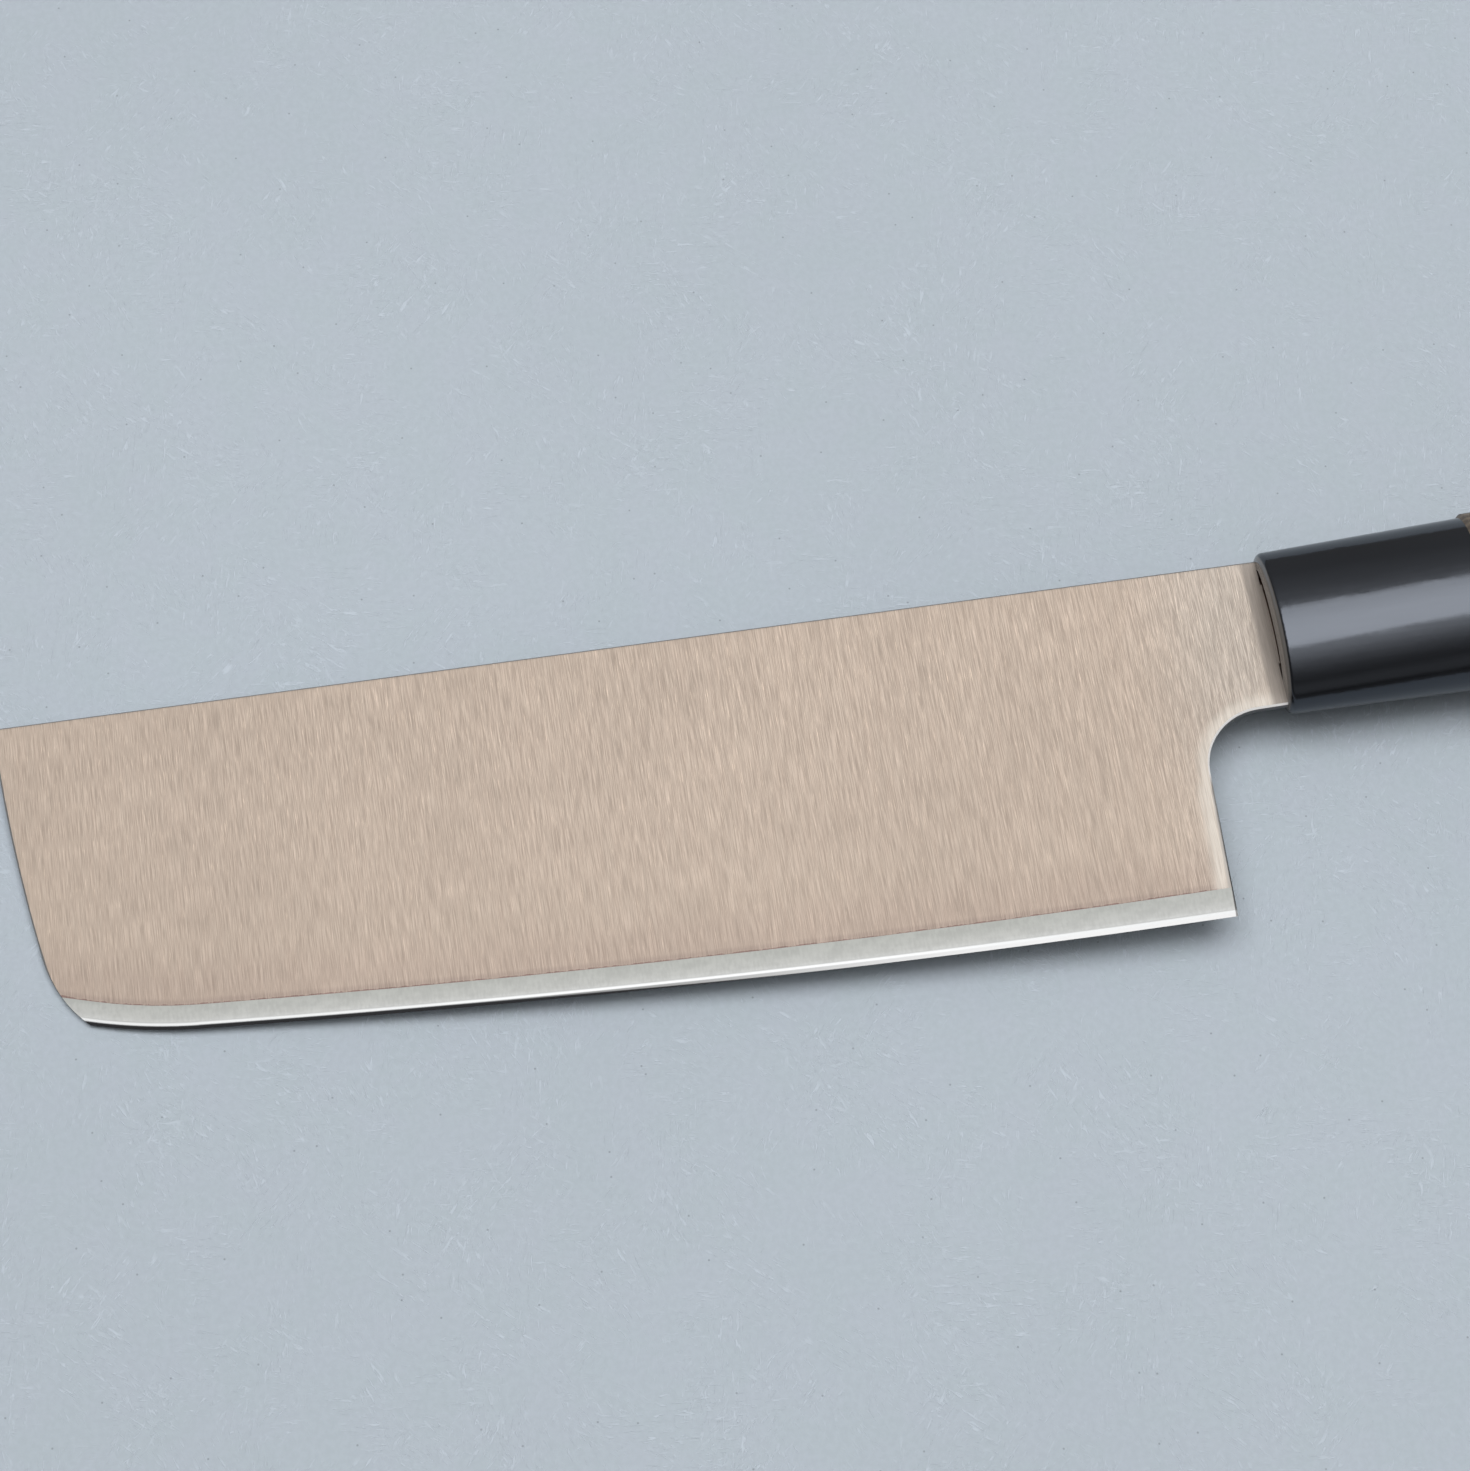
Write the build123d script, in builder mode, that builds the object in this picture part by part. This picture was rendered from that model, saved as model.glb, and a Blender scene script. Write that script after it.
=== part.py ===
from build123d import *
import os
from math import atan2, degrees

os.makedirs("parts", exist_ok=True)

# Nakiri knife, lying on its right side as it does on a table.
# Drawn along the handle: x runs from the tip to the butt with zero at the ferrule's front face,
# y runs from the edge to the spine and z out of the left side, with zero on the handle's axis.
# The resting location then tips that drawing onto the surface under it. Sizes in millimetres.

# Blade outline
blade_length = 164.8  # tip corner to heel, along the spine
neck_length = 12.4  # heel to ferrule
spine_height = 11.0  # spine over the axis, at the ferrule
spine_rise = 3.55  # how much higher the spine is at the tip
neck_depth = 11.1  # lower side of the neck under the axis
heel_drop = 40.3  # heel corner under the axis
heel_lean = 0.85  # heel corner ahead of the top of the heel line
choil_radius = 8.4

# Front edge, from the tip corner down to the belly: each place is back from and under the tip corner
front_lean = 4.1
front_drop = 34.85
front_bulge = 0.6
corner_lean = 9.6
corner_drop = 45.0
corner_bulge = 0.9
belly_lean = 24.0
belly_drop = 47.85
edge_bulge = 1.39  # height of the cutting edge's long arc

# Blade section
spine_thickness = 1.9
face_taper = 0.01  # share by which each side leans in towards the edge
bevel_width = 5.0  # ground bevel, micro bevel to side face
bevel_top = 0.48  # half thickness where the bevel meets the side face
micro_width = 1.0
micro_top = 0.2  # half thickness over the micro bevel
core_half_tip = 0.324  # half thickness of the hard layer at the tip
core_half_heel = 0.372  # and at the heel
edge_break = 0.25  # chamfer along spine, front edge, heel and choil

# Tang and the slots that hold it
tang_length = 92.0
tang_thickness = 1.8
tang_height = 12.2
tang_end_height = 7.0
tang_offset = 1.15  # middle of the tang and its slots over the axis
slot_height = 17.7  # oval slot in the ferrule's front face
slot_width = 6.8
seal_sink = 0.2  # how far the sealant lies below the face
bore_height = 13.2  # slot bored through the wood
bore_width = 3.4
bore_corner = 1.2
bore_run = 4.0  # how far the bore goes past the tang's end

# Ferrule
ferrule_length = 29.0
ferrule_half_height = 12.1
ferrule_half_thickness = 6.8
ferrule_height_spread = 0.6  # how much the half height grows to the rear
ferrule_thickness_spread = 1.7  # and the half thickness
ferrule_rim = 1.1
ferrule_face = 8.0  # thickness of the front wall
spigot_half_height = 9.3
spigot_half_thickness = 5.5
spigot_gap = 0.1  # glue gap round the spigot
spigot_end_gap = 0.3

# Wooden handle
handle_length = 98.0
wood_step = 0.5  # how far the wood stands proud of the ferrule
wood_chamfer = 0.5
butt_half_height = 14.2
butt_half_thickness = 10.2
butt_round = 2.2

overrun = 6.0  # how far cutting shapes run past what they cut

tip_reach = neck_length + blade_length
spine_at_tip = spine_height + spine_rise
spine_half = spine_thickness / 2
tip_corner = (-tip_reach, spine_at_tip)
front_end = (front_lean - tip_reach, spine_at_tip - front_drop)
corner = (corner_lean - tip_reach, spine_at_tip - corner_drop)
belly = (belly_lean - tip_reach, spine_at_tip - belly_drop)
heel = (-neck_length - heel_lean, -heel_drop)


def half_at(y):
    """Half thickness of the flat side faces at a height over the axis."""
    return spine_half + face_taper * (y - spine_at_tip)


# The knife touches the surface at the wood's lower front rim and at two places on the front
# edge, by the spine and where the front edge starts to curve, so these three set how it lies.
wood_half_height = ferrule_half_height + ferrule_height_spread + wood_step
wood_half_thickness = ferrule_half_thickness + ferrule_thickness_spread + wood_step
wood_flare = (butt_half_thickness - wood_half_thickness) / handle_length
rim_thickness = wood_half_thickness + wood_flare * wood_chamfer
rim_contact = Vector(ferrule_length + wood_chamfer, 0, -rim_thickness)
spine_contact = Vector(
    edge_break - tip_reach, spine_at_tip - edge_break, -half_at(spine_at_tip - edge_break)
)
front_contact = Vector(front_end[0] + edge_break, front_end[1], -half_at(front_end[1]))
surface_normal = (spine_contact - rim_contact).cross(front_contact - rim_contact)
if surface_normal.Z < 0:
    surface_normal = -surface_normal
middle = Vector((ferrule_length + handle_length - tip_reach) / 2, (spine_at_tip - heel_drop) / 2, 0)
drop = (middle - rim_contact).dot(surface_normal) / surface_normal.Z
surface = Plane(origin=middle - Vector(0, 0, drop), x_dir=(1, 0, 0), z_dir=surface_normal)
flat = Plane(surface.location.inverse())
across = Plane(origin=flat.origin, x_dir=flat.y_dir, z_dir=flat.x_dir)
side = Plane(origin=flat.origin, x_dir=flat.x_dir, z_dir=-flat.y_dir)
print("pitch", degrees(atan2(surface_normal.X, surface_normal.Z)))
print("roll", degrees(atan2(surface_normal.Y, surface_normal.Z)))

# Path of the edge, run past both ends for the grinding cuts: at the corner so far that the
# whole width of the bevel runs out at the front edge
past_corner = micro_width + bevel_width + overrun + overrun
with BuildLine(flat) as edge_path:
    edge_arc = SagittaArc(heel, belly, edge_bulge)
    belly_arc = TangentArc(edge_arc @ 1, flat.from_local_coords(corner), tangent=edge_arc % 1)
    Line(belly_arc @ 1, belly_arc @ 1 + (belly_arc % 1) * past_corner)
    Line(edge_arc @ 0, edge_arc @ 0 - (edge_arc % 0) * overrun)
path_start = edge_arc @ 0 - (edge_arc % 0) * overrun
inward = (edge_arc % 0).cross(flat.z_dir)
if inward.Y < 0:
    inward = -inward
grind_plane = Plane(origin=path_start, x_dir=inward, z_dir=inward.cross(flat.z_dir))

# Left half of the blade, before it is divided into its layers
section_top = spine_at_tip + overrun
section_foot = -heel_drop - overrun - overrun
bevel_rise = (bevel_top - micro_top) / bevel_width
bevel_far = micro_width + bevel_width + overrun
micro_rise = micro_top / micro_width
micro_far = micro_width + spine_thickness
with BuildPart() as left_half:
    with BuildSketch(across.offset(-tip_reach - overrun)):
        with BuildLine():
            Polyline(
                (section_top, 0),
                (section_top, half_at(section_top)),
                (section_foot, half_at(section_foot)),
                (section_foot, 0),
                close=True,
            )
        make_face()
    extrude(amount=tip_reach + overrun)
    with BuildSketch(flat):
        with BuildLine():
            Line((0, -neck_depth), (0, spine_height))
            Line((0, spine_height), tip_corner)
            SagittaArc(tip_corner, front_end, -front_bulge)
            SagittaArc(front_end, corner, -corner_bulge)
            Line(corner, (corner[0] + overrun, corner[1] - overrun))
            Line((corner[0] + overrun, corner[1] - overrun), (heel[0], heel[1] - overrun))
            Line((heel[0], heel[1] - overrun), heel)
            Line(heel, (-neck_length, -neck_depth))
            Line((-neck_length, -neck_depth), (0, -neck_depth))
        outline = make_face()
        choil = outline.vertices().sort_by_distance((-neck_length, -neck_depth))[0]
        fillet(choil, radius=choil_radius)
    extrude(amount=overrun, mode=Mode.INTERSECT)
    side_face = left_half.faces().sort_by(Axis(flat.origin, flat.z_dir))[-1]
    chamfer(side_face.edges().sort_by(Axis.X)[:-1], length=edge_break)
    # Main bevel: a straight grind from the micro bevel up to the side face, swept along the edge
    with BuildSketch(grind_plane):
        with BuildLine():
            Polyline(
                (-overrun, micro_top - bevel_rise * (overrun + micro_width)),
                (bevel_far, bevel_top + bevel_rise * overrun),
                (bevel_far, overrun),
                (-overrun, overrun),
                close=True,
            )
        make_face()
    sweep(path=edge_path.line, mode=Mode.SUBTRACT)
    # Micro bevel: it runs out at the cutting edge itself
    with BuildSketch(grind_plane):
        with BuildLine():
            Polyline(
                (-overrun, -micro_rise * overrun),
                (micro_far, micro_rise * micro_far),
                (micro_far, overrun),
                (-overrun, overrun),
                close=True,
            )
        make_face()
    sweep(path=edge_path.line, mode=Mode.SUBTRACT)

with BuildPart() as right_half:
    mirror(left_half.part, about=flat)

# Hard middle layer, bare below the clad line, with the tang behind it
core_far = tip_reach + overrun
core_slope = (core_half_heel - core_half_tip) / blade_length
core_half_start = core_half_tip - core_slope * overrun
core_half_end = core_half_heel + core_slope * neck_length
layer_reach = spine_at_tip + heel_drop + overrun
with BuildPart() as core_steel:
    with BuildSketch(side):
        with BuildLine():
            Polyline(
                (-core_far, core_half_start),
                (0, core_half_end),
                (0, -core_half_end),
                (-core_far, -core_half_start),
                close=True,
            )
        make_face()
    extrude(amount=layer_reach, both=True)
    add(left_half.part + right_half.part, mode=Mode.INTERSECT)
    with BuildSketch(flat):
        with BuildLine():
            Polyline(
                (0, tang_offset + tang_height / 2),
                (tang_length, tang_offset + tang_end_height / 2),
                (tang_length, tang_offset - tang_end_height / 2),
                (0, tang_offset - tang_height / 2),
                close=True,
            )
        make_face()
    extrude(amount=tang_thickness / 2, both=True)

# Softer outer layers on both sides of the hard one
with BuildPart() as left_cladding:
    with BuildSketch(side):
        with BuildLine():
            Polyline(
                (-core_far, core_half_start),
                (0, core_half_end),
                (0, overrun),
                (-core_far, overrun),
                close=True,
            )
        make_face()
    extrude(amount=layer_reach, both=True)
    add(left_half.part, mode=Mode.INTERSECT)

with BuildPart() as right_cladding:
    mirror(left_cladding.part, about=flat)

# Ferrule: an oval collar that widens to the rear, with a slotted front wall
ferrule_rear_height = ferrule_half_height + ferrule_height_spread
ferrule_rear_thickness = ferrule_half_thickness + ferrule_thickness_spread
with BuildPart() as ferrule:
    with BuildSketch(across):
        Ellipse(ferrule_half_height, ferrule_half_thickness)
    with BuildSketch(across.offset(ferrule_length)):
        Ellipse(ferrule_rear_height, ferrule_rear_thickness)
    loft(ruled=True)
    rim = ferrule.edges().sort_by(Axis.X)[0]
    fillet(rim, radius=ferrule_rim)
    with BuildSketch(across.offset(ferrule_length)):
        Ellipse(spigot_half_height + spigot_gap, spigot_half_thickness + spigot_gap)
    extrude(amount=ferrule_face - ferrule_length, mode=Mode.SUBTRACT)
    with BuildSketch(across):
        with Locations((tang_offset, 0)):
            Ellipse(slot_height / 2, slot_width / 2)
    extrude(amount=ferrule_face, mode=Mode.SUBTRACT)

# Sealant that fills the ferrule's slot round the tang
with BuildPart() as mouth_seal:
    with BuildSketch(across.offset(seal_sink)):
        with Locations((tang_offset, 0)):
            Ellipse(slot_height / 2, slot_width / 2)
    extrude(amount=ferrule_face - seal_sink)
    add(core_steel.part, mode=Mode.SUBTRACT)

# Oval wooden handle with a spigot that sits inside the ferrule
with BuildPart() as handle:
    with BuildSketch(across.offset(ferrule_length)):
        Ellipse(wood_half_height, wood_half_thickness)
    with BuildSketch(across.offset(ferrule_length + handle_length)):
        Ellipse(butt_half_height, butt_half_thickness)
    loft(ruled=True)
    chamfer(handle.edges().sort_by(Axis.X)[0], length=wood_chamfer)
    fillet(handle.edges().sort_by(Axis.X)[-1], radius=butt_round)
    with BuildSketch(across.offset(ferrule_length)):
        Ellipse(spigot_half_height, spigot_half_thickness)
    extrude(amount=ferrule_face + spigot_end_gap - ferrule_length)
    with BuildSketch(across.offset(ferrule_face)):
        with Locations((tang_offset, 0)):
            RectangleRounded(bore_height, bore_width, bore_corner)
    extrude(amount=tang_length + bore_run - ferrule_face, mode=Mode.SUBTRACT)

# Resin that holds the tang in the bored slot
with BuildPart() as tang_adhesive:
    with BuildSketch(across.offset(ferrule_face + spigot_end_gap)):
        with Locations((tang_offset, 0)):
            RectangleRounded(bore_height, bore_width, bore_corner)
    extrude(amount=tang_length + bore_run - ferrule_face - spigot_end_gap)
    add(core_steel.part, mode=Mode.SUBTRACT)

core_steel.part.label = "core_steel"
left_cladding.part.label = "left_cladding"
right_cladding.part.label = "right_cladding"
ferrule.part.label = "ferrule"
mouth_seal.part.label = "mouth_seal"
handle.part.label = "handle"
tang_adhesive.part.label = "tang_adhesive"

export_step(core_steel.part, "parts/core_steel.step")
export_step(left_cladding.part, "parts/left_cladding.step")
export_step(right_cladding.part, "parts/right_cladding.step")
export_step(ferrule.part, "parts/ferrule.step")
export_step(mouth_seal.part, "parts/mouth_seal.step")
export_step(handle.part, "parts/handle.step")
export_step(tang_adhesive.part, "parts/tang_adhesive.step")
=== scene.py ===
from math import pi, radians

import bmesh
import bpy
from bpy.props import FloatProperty, FloatVectorProperty, PointerProperty
from mathutils import Matrix, Vector

bl_info = {
    "name": "Nakiri knife",
    "version": (1, 0, 0),
    "blender": (4, 5, 0),
    "location": "3D View > Sidebar > Nakiri",
    "description": "Finishes for a nakiri knife, with its floor, light and camera",
    "category": "Object",
}

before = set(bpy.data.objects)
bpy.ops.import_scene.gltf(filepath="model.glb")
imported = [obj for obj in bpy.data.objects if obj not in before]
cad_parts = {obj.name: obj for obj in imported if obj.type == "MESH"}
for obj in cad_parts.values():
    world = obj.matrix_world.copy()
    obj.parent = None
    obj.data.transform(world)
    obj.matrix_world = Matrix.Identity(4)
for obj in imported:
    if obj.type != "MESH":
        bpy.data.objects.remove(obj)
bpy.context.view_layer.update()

# Places on the knife, in metres, in the frame's own axes
NECK_END = 0.0248  # where the neck meets the ferrule
HEEL_X = 0.0124  # where the heel line leaves the choil
EDGE_CENTRE = (0.0298, 1.73688, 0.0)  # centre of the long arc of the cutting edge
EDGE_RADIUS = 1.76449
BELLY_X = -0.12825  # where the edge turns up into the belly
BELLY_CENTRE = (-0.12207, 0.04873, 0.0)
BELLY_RADIUS = 0.06954
CHOIL_CENTRE = (0.02079, -0.00674, 0.0)
CHOIL_RADIUS = 0.0084
HEEL_LEAN = 0.043  # how far the heel line leans forward for each metre downwards
CLAD_LINE = 0.00407  # width of the bare hard steel at the heel
CLAD_SLOPE = 0.0052  # how much wider it gets for each metre towards the heel
SPINE_Y = 0.02427  # height of the spine's line over the frame's origin
SPINE_SLOPE = -0.02005  # how much that height changes for each metre towards the handle
SPINE_TURN = radians(1.149)  # the same slope as an angle
BRUSH_TURN = radians(0.2)  # the brushed lines' lean against the frame
SLOT_CENTRE = (0.02481, 0.01393, 0.00783)  # middle of the oval slot in the ferrule's front
SLOT_HALF_HEIGHT = 0.00885
SLOT_HALF_WIDTH = 0.0034
HANDLE_UP = (-0.00059, 0.99989, 0.01473)  # across the handle, towards the spine
HANDLE_OUT = (-0.04001, -0.01475, 0.99909)  # across the handle, out of the blade's left side

# Where nearly all of a noise's values lie
NOISE_LOW = 0.3
NOISE_HIGH = 0.7

# How upright the surface's normal stands, from where a mark starts to where it is full
GROUND_LEAN = (0.991, 0.986)  # the ground edge
CORNER_LEAN = (0.985, 0.93)  # the blade's broken corners
SIDE_LEAN = (0.4, 0.2)  # the blade's narrow sides

# Colours that both kinds of steel share
SIDE_SHADOW_TONE = (0.15, 0.15, 0.155)  # the narrow sides, painted dark as shade
HEEL_SHADOW_TONE = (0.13, 0.13, 0.13)  # the thin line of painted shadow along the heel line
NECK_END_TONE = (0.33, 0.295, 0.265)  # the neck's last stretch

# Camera, in metres: where it stands and the point of the floor it looks at
CAMERA_PLACE = (-0.09336, -0.19754, 0.46550)
CAMERA_TARGET = (-0.05062, 0.01199, 0.0)
CAMERA_ROLL = radians(2.733)
CAMERA_NEAR = 0.01
LENS_MM = 90.0
SENSOR_MM = 36.0


class NakiriBlade(bpy.types.PropertyGroup):
    cladding: FloatVectorProperty(
        name="Cladding", description="Colour of the soft outer steel", subtype="COLOR",
        size=3, min=0, max=1, default=(0.485, 0.405, 0.342))
    core: FloatVectorProperty(
        name="Core", description="Colour of the bare hard steel", subtype="COLOR",
        size=3, min=0, max=1, default=(0.44, 0.447, 0.425))
    roughness: FloatProperty(
        name="Roughness", description="Dullness of the brushed steel", subtype="FACTOR",
        min=0, max=1, default=0.66)
    streak_width: FloatProperty(
        name="Streak width", description="Width of one brushed line", subtype="DISTANCE",
        unit="LENGTH", min=0.00005, max=0.002, precision=5, default=0.000075)
    streak_length: FloatProperty(
        name="Streak length", description="Length of one brushed line", subtype="DISTANCE",
        unit="LENGTH", min=0.0005, max=0.05, precision=4, default=0.0042)


class NakiriHandle(bpy.types.PropertyGroup):
    ferrule: FloatVectorProperty(
        name="Ferrule", description="Colour of the polished collar", subtype="COLOR",
        size=3, min=0, max=1, default=(0.002, 0.002, 0.0025))
    wood: FloatVectorProperty(
        name="Wood", description="Middle colour of the wood", subtype="COLOR",
        size=3, min=0, max=1, default=(0.115, 0.088, 0.062))
    # the sealant's dark colour also stands as painted shadow by the slot's sides
    sealant: FloatVectorProperty(
        name="Sealant", description="Colour of the sealant in the collar's slot", subtype="COLOR",
        size=3, min=0, max=1, default=(0.03, 0.014, 0.008))
    wiped_sealant: FloatVectorProperty(
        name="Wiped sealant", description="Colour of the sealant where it was wiped flush",
        subtype="COLOR", size=3, min=0, max=1, default=(0.42, 0.37, 0.33))
    resin: FloatVectorProperty(
        name="Resin", description="Colour of the resin round the tang", subtype="COLOR",
        size=3, min=0, max=1, default=(0.5, 0.42, 0.28))


class NakiriStage(bpy.types.PropertyGroup):
    floor: FloatVectorProperty(
        name="Floor", description="Colour of the painted floor", subtype="COLOR",
        size=3, min=0, max=1, default=(0.44, 0.49, 0.545))
    floor_size: FloatProperty(
        name="Floor size", description="Length of the square floor's side", subtype="DISTANCE",
        unit="LENGTH", min=0.5, max=10, default=4.0)
    softbox_distance: FloatProperty(
        name="Softbox distance", description="How far the softbox stands", subtype="DISTANCE",
        unit="LENGTH", min=0.3, max=5, default=1.2)
    softbox_length: FloatProperty(
        name="Softbox length", description="Side of the softbox along the knife",
        subtype="DISTANCE", unit="LENGTH", min=0.1, max=5, default=1.25)
    softbox_width: FloatProperty(
        name="Softbox width", description="Side of the softbox across the knife",
        subtype="DISTANCE", unit="LENGTH", min=0.1, max=5, default=0.73)
    softbox_tilt: FloatProperty(
        name="Softbox tilt", description="How far the softbox leans back from overhead",
        subtype="ANGLE", min=0, max=1.5, default=radians(9.5))
    softbox_light: FloatProperty(
        name="Softbox light", description="Brightness of the softbox's face", min=0, max=50,
        default=2.35)
    room_light: FloatProperty(
        name="Room light", description="Brightness of the room around", min=0, max=5,
        default=0.83)


def node(tree, kind, **settings):
    """Adds a shader node and sets its plain settings."""
    made = tree.nodes.new(kind)
    for key, value in settings.items():
        setattr(made, key, value)
    return made


def new_finish(name):
    """A new material with its shader, its node tree and the object's own coordinates."""
    finish = bpy.data.materials.new(name)
    finish.use_nodes = True
    tree = finish.node_tree
    shader = tree.nodes["Principled BSDF"]
    place = node(tree, "ShaderNodeTexCoord").outputs["Object"]
    return finish, tree, shader, place


def feed(tree, socket, value):
    """Links a socket's source, or writes a plain value into it."""
    if isinstance(value, bpy.types.NodeSocket):
        tree.links.new(value, socket)
    else:
        socket.default_value = value


def scaled(tree, place, scale, turn=0.0, shift=(0, 0, 0)):
    """Coordinates turned about the vertical, moved and then scaled."""
    turned = node(tree, "ShaderNodeMapping", vector_type="POINT")
    turned.inputs["Rotation"].default_value = (0, 0, turn)
    turned.inputs["Location"].default_value = shift
    tree.links.new(place, turned.inputs["Vector"])
    sized = node(tree, "ShaderNodeMapping", vector_type="POINT")
    sized.inputs["Scale"].default_value = scale
    tree.links.new(turned.outputs[0], sized.inputs["Vector"])
    return sized.outputs[0]


def noise(tree, place, scale=1.0, detail=3.0, roughness=0.5, distortion=0.0):
    made = node(tree, "ShaderNodeTexNoise")
    made.inputs["Scale"].default_value = scale
    made.inputs["Detail"].default_value = detail
    made.inputs["Roughness"].default_value = roughness
    made.inputs["Distortion"].default_value = distortion
    tree.links.new(place, made.inputs["Vector"])
    return made.outputs[0]


def maths(tree, operation, first, second=0.0):
    made = node(tree, "ShaderNodeMath", operation=operation)
    feed(tree, made.inputs[0], first)
    feed(tree, made.inputs[1], second)
    return made.outputs[0]


def product(tree, first, second):
    return maths(tree, "MULTIPLY", first, second)


def difference(tree, first, second):
    return maths(tree, "SUBTRACT", first, second)


def vector_maths(tree, operation, first, second=(0, 0, 0)):
    """A vector node, whose first output is a vector and whose Value is a number."""
    made = node(tree, "ShaderNodeVectorMath", operation=operation)
    feed(tree, made.inputs[0], first)
    feed(tree, made.inputs[1], second)
    return made


def coordinate(tree, place, axis):
    parts = node(tree, "ShaderNodeSeparateXYZ")
    tree.links.new(place, parts.inputs[0])
    return parts.outputs[axis]


def spread(tree, value, low, high, out_low=0.0, out_high=1.0):
    """Maps a value from one range to another, smoothly and clamped."""
    made = node(tree, "ShaderNodeMapRange", interpolation_type="SMOOTHSTEP")
    feed(tree, made.inputs["Value"], value)
    made.inputs["From Min"].default_value = low
    made.inputs["From Max"].default_value = high
    made.inputs["To Min"].default_value = out_low
    made.inputs["To Max"].default_value = out_high
    return made.outputs[0]


def whole_noise(tree, value, out_low=0.0, out_high=1.0):
    """Spreads a noise's usual values over a range."""
    return spread(tree, value, NOISE_LOW, NOISE_HIGH, out_low, out_high)


def blend_colour(tree, factor, first, second, kind="MIX"):
    made = node(tree, "ShaderNodeMix", data_type="RGBA", blend_type=kind)
    feed(tree, made.inputs[0], factor)
    for socket, value in ((made.inputs[6], first), (made.inputs[7], second)):
        if not isinstance(value, bpy.types.NodeSocket) and len(value) == 3:
            value = (*value, 1.0)
        feed(tree, socket, value)
    return made.outputs[2]


def shade(tree, factor, colour, by):
    """Multiplies a colour where the factor is one, and leaves it where that is nothing."""
    return blend_colour(tree, factor, colour, by, "MULTIPLY")


def bump(tree, height, strength, distance):
    made = node(tree, "ShaderNodeBump")
    made.inputs["Strength"].default_value = strength
    made.inputs["Distance"].default_value = distance
    tree.links.new(height, made.inputs["Height"])
    return made.outputs[0]


def tint(colour, factor):
    return tuple(min(1.0, channel * factor) for channel in colour)


def leaning(tree, upright, tilted):
    """Nothing where the normal stands as high as upright, one where it is as low as tilted."""
    normal = node(tree, "ShaderNodeTexCoord").outputs["Normal"]
    height = maths(tree, "ABSOLUTE", coordinate(tree, normal, "Z"))
    return spread(tree, height, upright, tilted)


def within_arc(tree, place, centre, radius):
    """How far a point lies inside an arc drawn from above."""
    moved = vector_maths(tree, "SUBTRACT", place, centre)
    flat = vector_maths(tree, "MULTIPLY", moved.outputs[0], (1, 1, 0))
    length = vector_maths(tree, "LENGTH", flat.outputs[0])
    return difference(tree, radius, length.outputs["Value"])


def edge_distance(tree, place, along):
    """How far a point lies inside the cutting edge, its long arc and its belly."""
    either = node(tree, "ShaderNodeMix", data_type="FLOAT")
    tree.links.new(maths(tree, "LESS_THAN", along, BELLY_X), either.inputs[0])
    tree.links.new(within_arc(tree, place, EDGE_CENTRE, EDGE_RADIUS), either.inputs[2])
    tree.links.new(within_arc(tree, place, BELLY_CENTRE, BELLY_RADIUS), either.inputs[3])
    return either.outputs[0]


def choil_distance(tree, place):
    """How far a point of the blade lies from the heel line, the choil and the neck's lower
    side, and how far it lies below the choil's centre."""
    moved = vector_maths(tree, "SUBTRACT", CHOIL_CENTRE, place).outputs[0]
    down = coordinate(tree, moved, "Y")
    above = maths(tree, "MAXIMUM", product(tree, down, -1.0), 0.0)
    below = maths(tree, "MAXIMUM", down, 0.0)
    lean = product(tree, below, HEEL_LEAN)
    ahead = maths(tree, "MAXIMUM", difference(tree, coordinate(tree, moved, "X"), lean), 0.0)
    squares = maths(tree, "ADD", product(tree, ahead, ahead), product(tree, above, above))
    return difference(tree, maths(tree, "SQRT", squares), CHOIL_RADIUS), below


HEEL_SHADOW_WIDTH = (0.00024, 0.00012)  # in metres from the heel line
HEEL_SHADOW_START = (0.001, 0.004)  # in metres below the choil's centre


def heel_shadow_line(tree, outline, below):
    """A thin line of painted shadow along the heel line, which the choil hasn't."""
    line = spread(tree, outline, *HEEL_SHADOW_WIDTH)
    return product(tree, line, spread(tree, below, *HEEL_SHADOW_START))


def over_clad_line(tree, along, inside):
    """How far a point of the cladding lies above the clad line."""
    slope = product(tree, difference(tree, along, HEEL_X), CLAD_SLOPE)
    return difference(tree, difference(tree, inside, CLAD_LINE), slope)


def slot_edge_distance(tree, place):
    """How far a point lies inside the long sides of the ferrule's oval slot."""
    moved = vector_maths(tree, "SUBTRACT", place, SLOT_CENTRE).outputs[0]
    up = vector_maths(tree, "DOT_PRODUCT", moved, HANDLE_UP).outputs["Value"]
    out = vector_maths(tree, "DOT_PRODUCT", moved, HANDLE_OUT).outputs["Value"]
    share = maths(tree, "DIVIDE", up, SLOT_HALF_HEIGHT)
    left = difference(tree, 1.0, product(tree, share, share))
    reach = maths(tree, "SQRT", maths(tree, "MAXIMUM", left, 0.0))
    return difference(tree, product(tree, reach, SLOT_HALF_WIDTH), maths(tree, "ABSOLUTE", out))


# Kinds of brushed line: how many times as wide and as long as the fine ones
FINE_LINES = (1.0, 1.0)
COARSE_LINES = (1.4, 1.2)
BROAD_LINES = (7, 2.0)
THIN_LINES = (1.1, 0.7)
SHORT_LINES = (1.3, 0.45)
BRUSH_DEPTH = 40  # how often the lines change for each metre of the blade's thickness

# The noise values at which each kind of line starts and is full, and the brightness it gives
FINE_RANGE = (0.36, 0.64)
FINE_LIGHT = (0.885, 1.105)
SHORT_RANGE = (0.4, 0.64)
SHORT_LIGHT = (0.88, 1.2)
BRIGHT_RANGE = (0.62, 0.7)
DARK_RANGE = (0.36, 0.28)
HIGHLIGHT_STREAK_RANGE = (0.3, 0.6)
HIGHLIGHT_STREAK_LIGHT = (0.45, 1.0)


def brushing(tree, place, sizes, kind):
    """Brushed lines that run from spine to edge."""
    width = kind[0] * sizes.streak_width
    length = kind[1] * sizes.streak_length
    lines = scaled(tree, place, (1 / width, 1 / length, BRUSH_DEPTH), BRUSH_TURN)
    return noise(tree, lines, detail=2.0, roughness=0.6)


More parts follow.
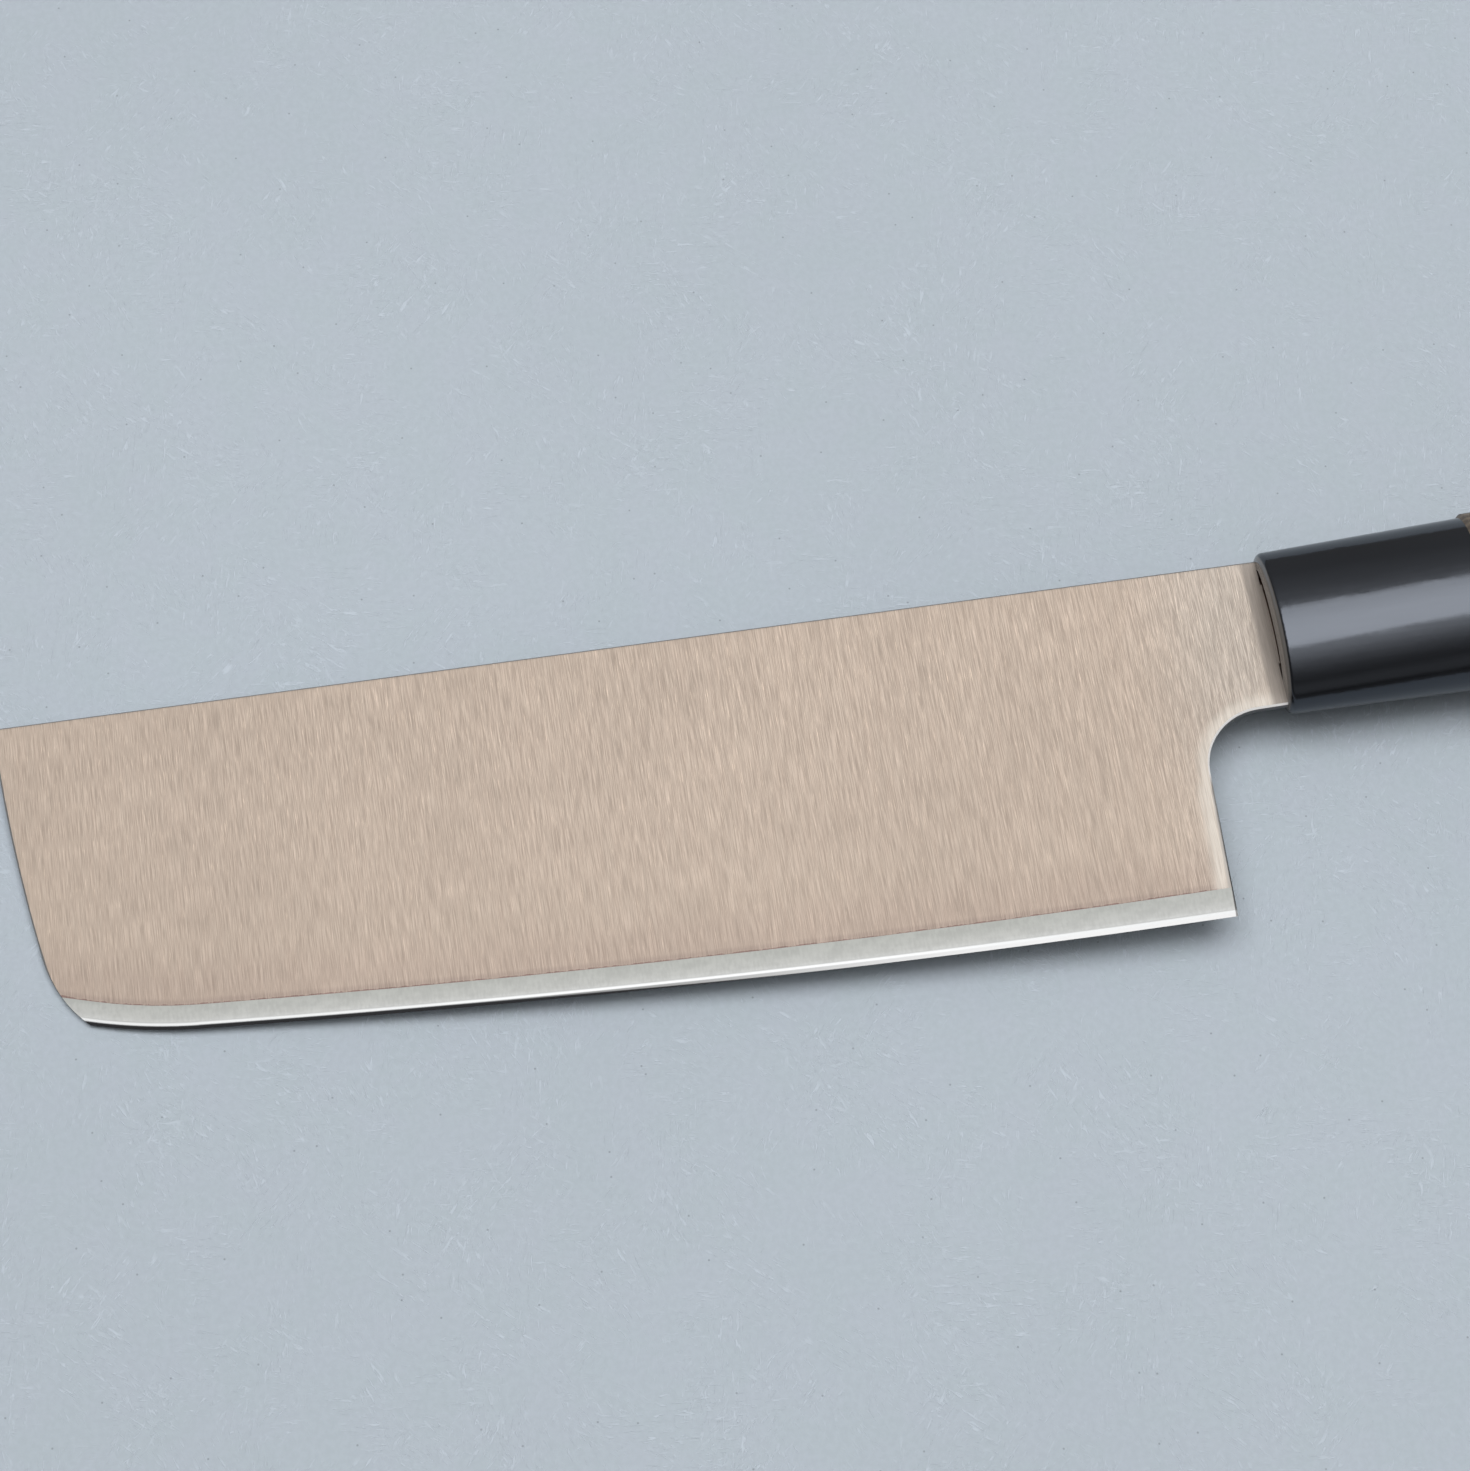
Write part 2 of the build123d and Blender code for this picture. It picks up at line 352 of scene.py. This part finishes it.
# Reaches of the cladding's marks, in metres, from where each starts to where it is full
BRUSH_REACH = (0.004, 0.045)  # inside the edge
RUGGED_REACH = (HEEL_X - 0.016, HEEL_X - 0.001)  # along the blade, as the next two
NECK_REACH = (HEEL_X - 0.010, NECK_END - 0.004)
COLLAR_REACH = (NECK_END - 0.0026, NECK_END - 0.0016)
DULL_REACH = (0.009, 0.001)  # over the clad line, as the next two
PINK_REACH = (0.0011, 0.0004)
MEETING_REACH = (0.00014, 0.00002)
MEETING_STRAY = (-0.00005, 0.00012)  # how far that last line strays down and up
MEETING_RANGE = (0.35, 0.62)  # the noise values at which it does
HEEL_SHADOW_STOP = (0.0064, 0.0061)  # inside the edge, where the cladding's painted heel shadow ends
BUFFED_HIGHLIGHT_REACH = (0.0026, 0.0007)  # from the choil, as the next two
RIM_REACH = (0.0001, -0.0001)
CORNER_REACH = (0.0008, 0.0005)
HEEL_BAND_REACH = (0.0, 0.003)  # below the choil's centre, as the next two
CHOIL_CORNER_REACH = (0.002, 0.0)
HEEL_LINE_REACH = (0.022, 0.006)
HEEL_BAND_SHIFT = (0.0, 0.0006)  # how far in from the heel line the band of polish and painted highlight starts
SPINE_REACH = (0.0006, 0.0001)  # under the spine

# Colours that the cladding's colour is multiplied by
BROAD_SHADE = (0.99, 1.0, 1.003)
BRIGHT_SHADE = (1.38, 1.37, 1.34)
DARK_SHADE = (0.90, 0.895, 0.90)
DULL_SHADE = (0.94, 0.925, 0.93)
PINK_SHADE = (0.89, 0.88, 0.89)
MEETING_SHADE = (0.68, 0.58, 0.6)
NECK_SHADE = (1.0, 1.07, 1.13)
SPINE_PAINTED_SHADE = (0.72, 0.72, 0.73)

# Colours that are mixed into the cladding's
BUFFED_HIGHLIGHT_TONE = (0.64, 0.595, 0.54)
RIM_TONE = (0.46, 0.43, 0.40)
SPINE_CORNER_DARK_REFLECTION = (0.19, 0.185, 0.18)
HEEL_CORNER_DARK_REFLECTION = (0.3, 0.285, 0.27)
CHOIL_CORNER_HIGHLIGHT = (0.86, 0.84, 0.82)


def cladding_finish(sizes):
    """Warm satin steel, brushed across the blade, polished round the choil, with a painted
    highlight there.
    """
    finish, tree, shader, place = new_finish("warm_satin_steel")
    fine = brushing(tree, place, sizes, FINE_LINES)
    coarse = brushing(tree, place, sizes, COARSE_LINES)
    broad = brushing(tree, place, sizes, BROAD_LINES)
    clouds = noise(tree, place, scale=45.0)
    along = coordinate(tree, place, "X")
    inside = edge_distance(tree, place, along)
    base = sizes.cladding
    colour = blend_colour(tree, whole_noise(tree, clouds), tint(base, 0.975), tint(base, 1.025))
    colour = shade(tree, whole_noise(tree, broad), colour, BROAD_SHADE)
    # brushed lines fade from the spine down to the clad line, and grow coarser at the heel
    strength = spread(tree, inside, *BRUSH_REACH, 0.6, 1.0)
    colour = shade(tree, strength, colour, spread(tree, fine, *FINE_RANGE, *FINE_LIGHT))
    thin = brushing(tree, place, sizes, THIN_LINES)
    bright = product(tree, spread(tree, thin, *BRIGHT_RANGE), strength)
    colour = shade(tree, bright, colour, BRIGHT_SHADE)
    dark = product(tree, spread(tree, coarse, *DARK_RANGE), strength)
    colour = shade(tree, dark, colour, DARK_SHADE)
    rugged = spread(tree, along, *RUGGED_REACH, 0.0, 0.6)
    short = brushing(tree, place, sizes, SHORT_LINES)
    colour = shade(tree, rugged, colour, spread(tree, short, *SHORT_RANGE, *SHORT_LIGHT))
    # duller and pinker over the clad line, with a thin broken brown line where the layers meet
    over = over_clad_line(tree, along, inside)
    colour = shade(tree, spread(tree, over, *DULL_REACH), colour, DULL_SHADE)
    colour = shade(tree, spread(tree, over, *PINK_REACH), colour, PINK_SHADE)
    wander = noise(tree, scaled(tree, place, (900, 60, 60)), roughness=0.7)
    reach = difference(tree, over, spread(tree, wander, *MEETING_RANGE, *MEETING_STRAY))
    colour = shade(tree, spread(tree, reach, *MEETING_REACH), colour, MEETING_SHADE)
    # the neck is more neutral
    neck = spread(tree, along, *NECK_REACH, 0.0, 0.75)
    colour = shade(tree, neck, colour, NECK_SHADE)
    # polished round the choil with a painted highlight, a little in from the edge along the heel
    # line
    outline, below = choil_distance(tree, place)
    shift = spread(tree, below, *HEEL_BAND_REACH, *HEEL_BAND_SHIFT)
    rim = difference(tree, outline, shift)
    highlight_streaks = spread(tree, coarse, *HIGHLIGHT_STREAK_RANGE, *HIGHLIGHT_STREAK_LIGHT)
    buffed_highlight = product(tree, spread(tree, rim, *BUFFED_HIGHLIGHT_REACH, 0.0, 0.95), highlight_streaks)
    colour = blend_colour(tree, buffed_highlight, colour, BUFFED_HIGHLIGHT_TONE)
    colour = blend_colour(tree, spread(tree, rim, *RIM_REACH), colour, RIM_TONE)
    # the neck's last stretch is left unbrushed, and the heel line has a thin line of painted shadow
    collar_end = spread(tree, along, *COLLAR_REACH, 0.0, 0.9)
    colour = blend_colour(tree, collar_end, colour, NECK_END_TONE)
    stop = spread(tree, inside, *HEEL_SHADOW_STOP)
    heel_shadow = product(tree, heel_shadow_line(tree, outline, below), stop)
    colour = blend_colour(tree, heel_shadow, colour, HEEL_SHADOW_TONE)
    # painted shade close under the spine
    rise = product(tree, along, SPINE_SLOPE)
    spine_height = maths(tree, "ADD", rise, SPINE_Y)
    under_spine = difference(tree, spine_height, coordinate(tree, place, "Y"))
    colour = shade(tree, spread(tree, under_spine, *SPINE_REACH, 0.0, 0.6), colour, SPINE_PAINTED_SHADE)
    # broken corners are matt, with painted dark reflections on the spine, front and heel and a
    # painted highlight round the choil
    edges = leaning(tree, *CORNER_LEAN)
    by_outline = spread(tree, outline, *CORNER_REACH)
    choil_corner_highlight = product(tree, spread(tree, below, *CHOIL_CORNER_REACH), by_outline)
    heel_line = product(tree, by_outline, spread(tree, below, *HEEL_LINE_REACH))
    corners = blend_colour(tree, heel_line, SPINE_CORNER_DARK_REFLECTION, HEEL_CORNER_DARK_REFLECTION)
    corners = blend_colour(tree, choil_corner_highlight, corners, CHOIL_CORNER_HIGHLIGHT)
    colour = blend_colour(tree, edges, colour, corners)
    # the narrow sides are painted dark, as shade
    colour = blend_colour(tree, leaning(tree, *SIDE_LEAN), colour, SIDE_SHADOW_TONE)
    tree.links.new(colour, shader.inputs["Base Color"])
    rough = maths(tree, "ADD", whole_noise(tree, fine, 0.05, -0.05), sizes.roughness)
    tree.links.new(rough, shader.inputs["Roughness"])
    tree.links.new(difference(tree, 1.0, edges), shader.inputs["Metallic"])
    shader.inputs["Anisotropic"].default_value = 0.5
    # the highlight is drawn out from spine to edge
    tangent = node(tree, "ShaderNodeCombineXYZ")
    tangent.inputs[1].default_value = 1.0
    tree.links.new(tangent.outputs[0], shader.inputs["Tangent"])
    tree.links.new(bump(tree, fine, strength=0.3, distance=0.00001), shader.inputs["Normal"])
    return finish


# Reaches of the hard steel's marks, in metres, from where each starts to where it is full
BAND_REACH = (0.0038, 0.0012)  # inside the edge, as the next three
LINE_GLOW_REACH = (0.0017, 0.001)
LINE_REACH = (0.0011, 0.00068)
UNDER_LINE_REACH = (0.00064, 0.00046)
FOOT_REACH = (0.00008, -0.00008)  # over the top of the dark foot
FOOT_RISE = (0.0, 0.00048)  # height of the dark foot where it starts and at the tip
FOOT_START = (-0.035, -0.1)  # along the blade, as the next four
HEEL_REACH = (-0.03, HEEL_X)
UNDER_LINE_FADE = (-0.085, -0.01)
NECK_FACE = (NECK_END - 0.00008, NECK_END - 0.00004)
TANG_START = (NECK_END + 0.0002, NECK_END + 0.00024)
LINE_MIDDLE = 0.057  # how far towards the tip from the frame's origin the bright line is palest
LINE_MIDDLE_REACH = (0.05, 0.02)  # to each side of it
CORE_DULLNESS = (0.7, 0.38)  # roughness off the bright line and on it

# Colours that the hard steel's colour is multiplied by
BAND_SHADE = (1.13, 1.12, 1.14)
HEEL_SHADE = (1.03, 1.03, 1.04)
LINE_GLOW_SHADE = (1.09, 1.09, 1.1)

# Colours that are mixed into the hard steel's
GROUND_TONE = (0.53, 0.535, 0.525)
LINE_TONE = (0.36, 0.365, 0.367)
LINE_MIDDLE_HIGHLIGHT = (0.4, 0.405, 0.407)
UNDER_LINE_REFLECTIONS = (0.12, 0.36)  # greys towards the tip and towards the heel
FOOT_DARK_REFLECTION = (0.012, 0.012, 0.013)
TANG_SCALE_AND_SHADE = (0.022, 0.014, 0.009)


def core_finish(sizes):
    """Neutral satin steel of the hard layer, its ground edge bright with a painted highlight and
    painted reflections, its tang left as forged, black, which also stands as painted shade in the
    slot.
    """
    finish, tree, shader, place = new_finish("hard_satin_steel")
    fine = noise(tree, scaled(tree, place, (2500, 900, 900), SPINE_TURN), detail=2.0)
    clouds = noise(tree, scaled(tree, place, (300, 700, 500)), roughness=0.6)
    mix = maths(tree, "ADD", product(tree, fine, 0.5), product(tree, clouds, 0.5))
    base = sizes.core
    colour = blend_colour(tree, spread(tree, mix, 0.35, 0.65), tint(base, 0.95), tint(base, 1.06))
    along = coordinate(tree, place, "X")
    inside = edge_distance(tree, place, along)
    # paler towards the ground edge and towards the heel
    colour = shade(tree, spread(tree, inside, *BAND_REACH), colour, BAND_SHADE)
    colour = shade(tree, spread(tree, along, *HEEL_REACH, 0.0, 0.7), colour, HEEL_SHADE)
    # the painted soft glow of the highlight over the bright line
    colour = shade(tree, spread(tree, inside, *LINE_GLOW_REACH), colour, LINE_GLOW_SHADE)
    # a bright line runs along the top of the ground edge, made paler in its middle as a painted
    # highlight; under it a painted reflection makes the edge bright at the heel and darker towards
    # the tip, where it ends in a dark foot of painted dark reflection
    ground = leaning(tree, *GROUND_LEAN)
    foot = spread(tree, along, *FOOT_START, *FOOT_RISE)
    lit = product(tree, ground, spread(tree, inside, *LINE_REACH))
    under_line = product(tree, ground, spread(tree, inside, *UNDER_LINE_REACH))
    over_foot = difference(tree, inside, foot)
    dark_reflection_foot = product(tree, ground, spread(tree, over_foot, *FOOT_REACH))
    from_middle = maths(tree, "ABSOLUTE", maths(tree, "ADD", along, LINE_MIDDLE))
    middle = spread(tree, from_middle, *LINE_MIDDLE_REACH)
    line_tone = blend_colour(tree, middle, LINE_TONE, LINE_MIDDLE_HIGHLIGHT)
    under_line_reflection = spread(tree, along, *UNDER_LINE_FADE, *UNDER_LINE_REFLECTIONS)
    colour = blend_colour(tree, ground, colour, GROUND_TONE)
    colour = blend_colour(tree, lit, colour, line_tone)
    colour = blend_colour(tree, under_line, colour, under_line_reflection)
    colour = blend_colour(tree, dark_reflection_foot, colour, FOOT_DARK_REFLECTION)
    outline, below = choil_distance(tree, place)
    # a thin line of painted shadow along the heel line
    colour = blend_colour(tree, heel_shadow_line(tree, outline, below), colour, HEEL_SHADOW_TONE)
    # the narrow sides are painted dark, as shade
    sides = leaning(tree, *SIDE_LEAN)
    colour = blend_colour(tree, sides, colour, SIDE_SHADOW_TONE)
    # from the collar on the steel is duller, and after 0.2 mm the tang is black like forge scale,
    # which also stands as painted shade deep in the slot
    neck_end = spread(tree, along, *NECK_FACE)
    colour = blend_colour(tree, neck_end, colour, NECK_END_TONE)
    scale = spread(tree, along, *TANG_START)
    colour = blend_colour(tree, scale, colour, TANG_SCALE_AND_SHADE)
    tree.links.new(colour, shader.inputs["Base Color"])
    tree.links.new(spread(tree, lit, 0.0, 1.0, *CORE_DULLNESS), shader.inputs["Roughness"])
    # the narrow sides are matt, but for the tang's
    matt = difference(tree, sides, scale)
    tree.links.new(spread(tree, matt, 0.0, 1.0, 1.0, 0.0), shader.inputs["Metallic"])
    tree.links.new(bump(tree, mix, strength=0.15, distance=0.00002), shader.inputs["Normal"])
    return finish


COLLAR_FACE = (NECK_END + 0.0003, NECK_END + 0.0001)  # along the knife
COLLAR_FACE_TONE = (0.13, 0.12, 0.11)
COLLAR_DULLNESS = (0.1, 0.16)  # lowest and highest roughness


def ferrule_finish(sizes):
    """Polished black collar with faint polishing lines along its length."""
    finish, tree, shader, place = new_finish("polished_black")
    lines = noise(tree, scaled(tree, place, (25, 1500, 1500)), detail=2.0)
    waves = noise(tree, scaled(tree, place, (60, 160, 160)), detail=2.0)
    black = sizes.ferrule
    colour = blend_colour(tree, whole_noise(tree, waves), tint(black, 0.8), tint(black, 1.4))
    # the front face is flat and paler
    front = spread(tree, coordinate(tree, place, "X"), *COLLAR_FACE)
    colour = blend_colour(tree, front, colour, COLLAR_FACE_TONE)
    tree.links.new(colour, shader.inputs["Base Color"])
    tree.links.new(whole_noise(tree, lines, *COLLAR_DULLNESS), shader.inputs["Roughness"])
    shader.inputs["IOR"].default_value = 1.75
    shader.inputs["Specular Tint"].default_value = (0.8, 0.87, 1.0, 1.0)
    tree.links.new(bump(tree, lines, strength=0.5, distance=0.00001), shader.inputs["Normal"])
    return finish


WIPED_REACH = (0.0017, 0.002)  # in metres from the slot's long sides


def seal_finish(name, colour, wiped=None):
    """Matt resin with small lumps. Where a wiped colour is given, it has that but for a dark line
    by the slot's sides, which is painted shadow."""
    finish, tree, shader, place = new_finish(name)
    lumps = noise(tree, place, scale=1800.0, roughness=0.6)
    mixed = blend_colour(tree, whole_noise(tree, lumps), tint(colour, 0.6), tint(colour, 1.5))
    if wiped is not None:
        # the dark sealant colour kept by the slot's sides is painted shadow
        within = spread(tree, slot_edge_distance(tree, place), *WIPED_REACH)
        mixed = blend_colour(tree, within, mixed, wiped)
    tree.links.new(mixed, shader.inputs["Base Color"])
    shader.inputs["Roughness"].default_value = 0.7
    shader.inputs["Specular IOR Level"].default_value = 0.08
    tree.links.new(bump(tree, lumps, strength=0.5, distance=0.0002), shader.inputs["Normal"])
    return finish


RING_SHIFT = (0, 0.022, -0.035)  # how far the wood lies from its rings' middle, in metres
RING_TURN = 0.05
RING_SCALE = 190.0
RING_RANGE = (0.15, 0.95)
GRAIN_BEND = 0.012  # how far the grain strays at most, in metres
PORE_RANGE = (0.56, 0.7)  # the noise values at which a pore starts and is full
WOOD_DULLNESS = (0.42, 0.6)  # lowest and highest roughness


def wood_finish(sizes):
    """Dark oiled wood: long grain, growth rings on the butt and fine pores."""
    finish, tree, shader, place = new_finish("oiled_dark_wood")
    bend = noise(tree, scaled(tree, place, (14, 60, 60)), roughness=0.55)
    offset = node(tree, "ShaderNodeCombineXYZ")
    feed(tree, offset.inputs[1], bend)
    feed(tree, offset.inputs[2], bend)
    moved = vector_maths(tree, "SCALE", offset.outputs[0])
    moved.inputs["Scale"].default_value = GRAIN_BEND
    bent = vector_maths(tree, "ADD", place, moved.outputs[0])
    rings = node(tree, "ShaderNodeTexWave", wave_type="RINGS", rings_direction="X")
    centred = scaled(tree, bent.outputs[0], (1, 1, 1), RING_TURN, RING_SHIFT)
    tree.links.new(centred, rings.inputs["Vector"])
    rings.inputs["Scale"].default_value = RING_SCALE
    rings.inputs["Distortion"].default_value = 1.2
    rings.inputs["Detail"].default_value = 2.0
    pores = noise(tree, scaled(tree, place, (220, 3600, 3600)), detail=2.0, roughness=0.6)
    ring_tone = spread(tree, rings.outputs["Fac"], *RING_RANGE)
    wood = sizes.wood
    colour = blend_colour(tree, ring_tone, tint(wood, 0.72), tint(wood, 1.3))
    open_pores = spread(tree, pores, *PORE_RANGE, 0.0, 0.55)
    colour = blend_colour(tree, open_pores, colour, tint(wood, 0.4))
    tree.links.new(colour, shader.inputs["Base Color"])
    tree.links.new(spread(tree, pores, 0.4, 0.7, *WOOD_DULLNESS), shader.inputs["Roughness"])
    height = difference(tree, product(tree, ring_tone, 0.3), pores)
    tree.links.new(bump(tree, height, strength=0.3, distance=0.00015), shader.inputs["Normal"])
    return finish


# Layers of fibres in the floor's paint: the turn of each, in radians, and its shift
FIBRE_LAYERS = ((0.15, 0.0), (1.2, 0.7), (2.3, 1.9), (0.7, 3.1), (1.8, 4.3))
FIBRE_SCALE = (430, 2100, 1)
PATCH_SCALE = (60, 60, 1)
FIBRE_RANGE = (0.56, 0.74)  # the noise values at which a fibre starts and is full
PATCH_RANGE = (0.49, 0.62)  # the same for the patches that hold fibres
BLOTCH_SHADE = (0.985, 1.0, 0.985)
SPECK_SIZE = (0.016, 0.008)  # from a speck's rim to its middle, in shares of their spacing


def painted_floor(sizes):
    """Matt pale blue paint with short raised fibres lying every way and a few dark specks."""
    finish, tree, shader, place = new_finish("pale_blue_paint")
    fibres = None
    for turn, shift in FIBRE_LAYERS:
        lying = scaled(tree, place, FIBRE_SCALE, turn, (shift, shift, 0))
        field = noise(tree, lying, detail=1.0, distortion=1.3)
        spot = scaled(tree, place, PATCH_SCALE, turn, (5 * shift, 2, 0))
        patch = noise(tree, spot, roughness=0.7)
        strand = product(tree, spread(tree, field, *FIBRE_RANGE), spread(tree, patch, *PATCH_RANGE))
        fibres = strand if fibres is None else maths(tree, "MAXIMUM", fibres, strand)
    paint = sizes.floor
    clouds = noise(tree, place, scale=9.0)
    colour = blend_colour(tree, whole_noise(tree, clouds), tint(paint, 0.985), tint(paint, 1.015))
    blotches = noise(tree, place, scale=130.0, roughness=0.55)
    colour = shade(tree, spread(tree, blotches, 0.35, 0.65), colour, BLOTCH_SHADE)
    grain = noise(tree, place, scale=1100.0, detail=2.0, roughness=0.6)
    colour = shade(tree, 1.0, colour, whole_noise(tree, grain, 0.975, 1.025))
    colour = blend_colour(tree, product(tree, fibres, 0.8), colour, tint(paint, 1.2))
    dots = node(tree, "ShaderNodeTexVoronoi", voronoi_dimensions="2D")
    tree.links.new(place, dots.inputs["Vector"])
    dots.inputs["Scale"].default_value = 85.0
    specks = spread(tree, dots.outputs["Distance"], *SPECK_SIZE)
    colour = blend_colour(tree, product(tree, specks, 0.6), colour, tint(paint, 0.45))
    tree.links.new(colour, shader.inputs["Base Color"])
    shader.inputs["Roughness"].default_value = 0.7
    shader.inputs["Specular IOR Level"].default_value = 0.25
    tree.links.new(bump(tree, fibres, strength=0.6, distance=0.0001), shader.inputs["Normal"])
    return finish


# The room's light: degrees from overhead towards the knife's spine side, and brightness there
ROOM_STOPS = (
    (-90, 0.2), (-80, 0.1), (-72, 0.33), (-62, 0.35), (-50, 0.2), (-40, 0.3), (-29, 0.65),
    (-20, 1.3), (-8, 2.3), (10, 2.3), (27, 1.0), (40, 0.6), (60, 0.36), (90, 0.24))
HORIZON = 90  # degrees from overhead
WALL_TONE = (0.06, 0.06, 0.06)  # of the walls past the knife's two ends
WALL_REACH = (0.75, 0.45)  # how far towards an end the view points, from wall to open room


def studio_room(sizes):
    """The room around: pale overhead where the softbox spills, dim towards the walls."""
    world = bpy.data.worlds.new("room")
    world.use_nodes = True
    tree = world.node_tree
    way = node(tree, "ShaderNodeTexCoord").outputs["Generated"]
    lean = maths(tree, "ARCTAN2", coordinate(tree, way, "Y"), coordinate(tree, way, "Z"))
    ramp = node(tree, "ShaderNodeValToRGB")
    ramp.color_ramp.interpolation = "LINEAR"
    brightest = max(light for degrees, light in ROOM_STOPS)
    marks = ramp.color_ramp.elements
    while len(marks) < len(ROOM_STOPS):
        marks.new(0.5)
    for mark, (degrees, light) in zip(marks, ROOM_STOPS):
        grey = light / brightest
        mark.position = (degrees + HORIZON) / (2 * HORIZON)
        mark.color = (grey, grey, grey, 1.0)
    tree.links.new(maths(tree, "ADD", maths(tree, "DIVIDE", lean, pi), 0.5), ramp.inputs[0])
    aside = maths(tree, "ABSOLUTE", coordinate(tree, way, "X"))
    light = blend_colour(tree, spread(tree, aside, *WALL_REACH), WALL_TONE, ramp.outputs[0])
    background = tree.nodes["Background"]
    tree.links.new(light, background.inputs["Color"])
    background.inputs["Strength"].default_value = brightest * sizes.room_light
    return world


def dress(node_name, finish):
    """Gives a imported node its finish."""
    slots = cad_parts[node_name].material_slots
    if not slots:
        raise RuntimeError("no material slot on " + node_name)
    for slot in slots:
        slot.material = finish


class NAKIRI_OT_blade(bpy.types.Operator):
    """Brushed steel for the two outer layers and fine satin steel for the hard one"""
    bl_idname = "nakiri.blade"
    bl_label = "Finish the blade"

    def execute(self, context):
        sizes = context.scene.nakiri_blade
        finish = cladding_finish(sizes)
        dress("left_cladding", finish)
        dress("right_cladding", finish)
        dress("core_steel", core_finish(sizes))
        return {"FINISHED"}


class NAKIRI_OT_ferrule(bpy.types.Operator):
    """Polished black for the collar, matt resin for its seal and for the tang's glue"""
    bl_idname = "nakiri.ferrule"
    bl_label = "Finish the ferrule"

    def execute(self, context):
        sizes = context.scene.nakiri_handle
        dress("ferrule", ferrule_finish(sizes))
        dress("mouth_seal", seal_finish("sealant_with_slot_shadow", sizes.sealant, sizes.wiped_sealant))
        dress("tang_adhesive", seal_finish("pale_resin", sizes.resin))
        return {"FINISHED"}


class NAKIRI_OT_handle(bpy.types.Operator):
    """Dark oiled wood for the grip"""
    bl_idname = "nakiri.handle"
    bl_label = "Finish the handle"

    def execute(self, context):
        dress("handle", wood_finish(context.scene.nakiri_handle))
        return {"FINISHED"}


class NAKIRI_OT_stage(bpy.types.Operator):
    """Painted floor, one large softbox, the room's light and the camera"""
    bl_idname = "nakiri.stage"
    bl_label = "Set the stage"

    def execute(self, context):
        sizes = context.scene.nakiri_stage
        shape = bmesh.new()
        bmesh.ops.create_grid(shape, x_segments=1, y_segments=1, size=sizes.floor_size / 2)
        mesh = bpy.data.meshes.new("floor")
        shape.to_mesh(mesh)
        shape.free()
        floor = bpy.data.objects.new("floor", mesh)
        mesh.materials.append(painted_floor(sizes))
        context.scene.collection.objects.link(floor)

        lamp = bpy.data.lights.new("softbox", "AREA")
        lamp.shape = "RECTANGLE"
        lamp.size = sizes.softbox_length
        lamp.size_y = sizes.softbox_width
        # the watts that give the lamp's face the brightness asked for
        lamp.energy = sizes.softbox_light * pi * lamp.size * lamp.size_y
        softbox = bpy.data.objects.new("softbox", lamp)
        turn = Matrix.Rotation(-sizes.softbox_tilt, 4, "X")
        softbox.matrix_world = turn @ Matrix.Translation((0, 0, sizes.softbox_distance))
        context.scene.collection.objects.link(softbox)
        context.scene.world = studio_room(sizes)

        lens = bpy.data.cameras.new("camera")
        lens.sensor_width = SENSOR_MM
        lens.lens = LENS_MM
        lens.clip_start = CAMERA_NEAR
        camera = bpy.data.objects.new("camera", lens)
        view = (Vector(CAMERA_TARGET) - Vector(CAMERA_PLACE)).to_track_quat("-Z", "Y")
        turn = view.to_matrix().to_4x4() @ Matrix.Rotation(CAMERA_ROLL, 4, "Z")
        camera.matrix_world = Matrix.Translation(CAMERA_PLACE) @ turn
        context.scene.collection.objects.link(camera)
        context.scene.camera = camera
        context.scene.view_settings.view_transform = "Standard"
        return {"FINISHED"}


class NAKIRI_PT_panel(bpy.types.Panel):
    bl_idname = "NAKIRI_PT_panel"
    bl_label = "Nakiri knife"
    bl_space_type = "VIEW_3D"
    bl_region_type = "UI"
    bl_category = "Nakiri"

    def draw(self, context):
        layout = self.layout
        for group, operators in (
            (context.scene.nakiri_blade, ("nakiri.blade",)),
            (context.scene.nakiri_handle, ("nakiri.ferrule", "nakiri.handle")),
            (context.scene.nakiri_stage, ("nakiri.stage",)),
        ):
            box = layout.box()
            for name in group.bl_rna.properties.keys():
                if name not in ("rna_type", "name"):
                    box.prop(group, name)
            for operator in operators:
                box.operator(operator)


classes = (
    NakiriBlade, NakiriHandle, NakiriStage,
    NAKIRI_OT_blade, NAKIRI_OT_ferrule, NAKIRI_OT_handle, NAKIRI_OT_stage, NAKIRI_PT_panel,
)


def register():
    for cls in classes:
        bpy.utils.register_class(cls)
    bpy.types.Scene.nakiri_blade = PointerProperty(type=NakiriBlade)
    bpy.types.Scene.nakiri_handle = PointerProperty(type=NakiriHandle)
    bpy.types.Scene.nakiri_stage = PointerProperty(type=NakiriStage)


def unregister():
    del bpy.types.Scene.nakiri_blade
    del bpy.types.Scene.nakiri_handle
    del bpy.types.Scene.nakiri_stage
    for cls in reversed(classes):
        bpy.utils.unregister_class(cls)


def main():
    register()
    bpy.ops.nakiri.stage()
    bpy.ops.nakiri.blade()
    bpy.ops.nakiri.ferrule()
    bpy.ops.nakiri.handle()


if __name__ == "__main__":
    main()
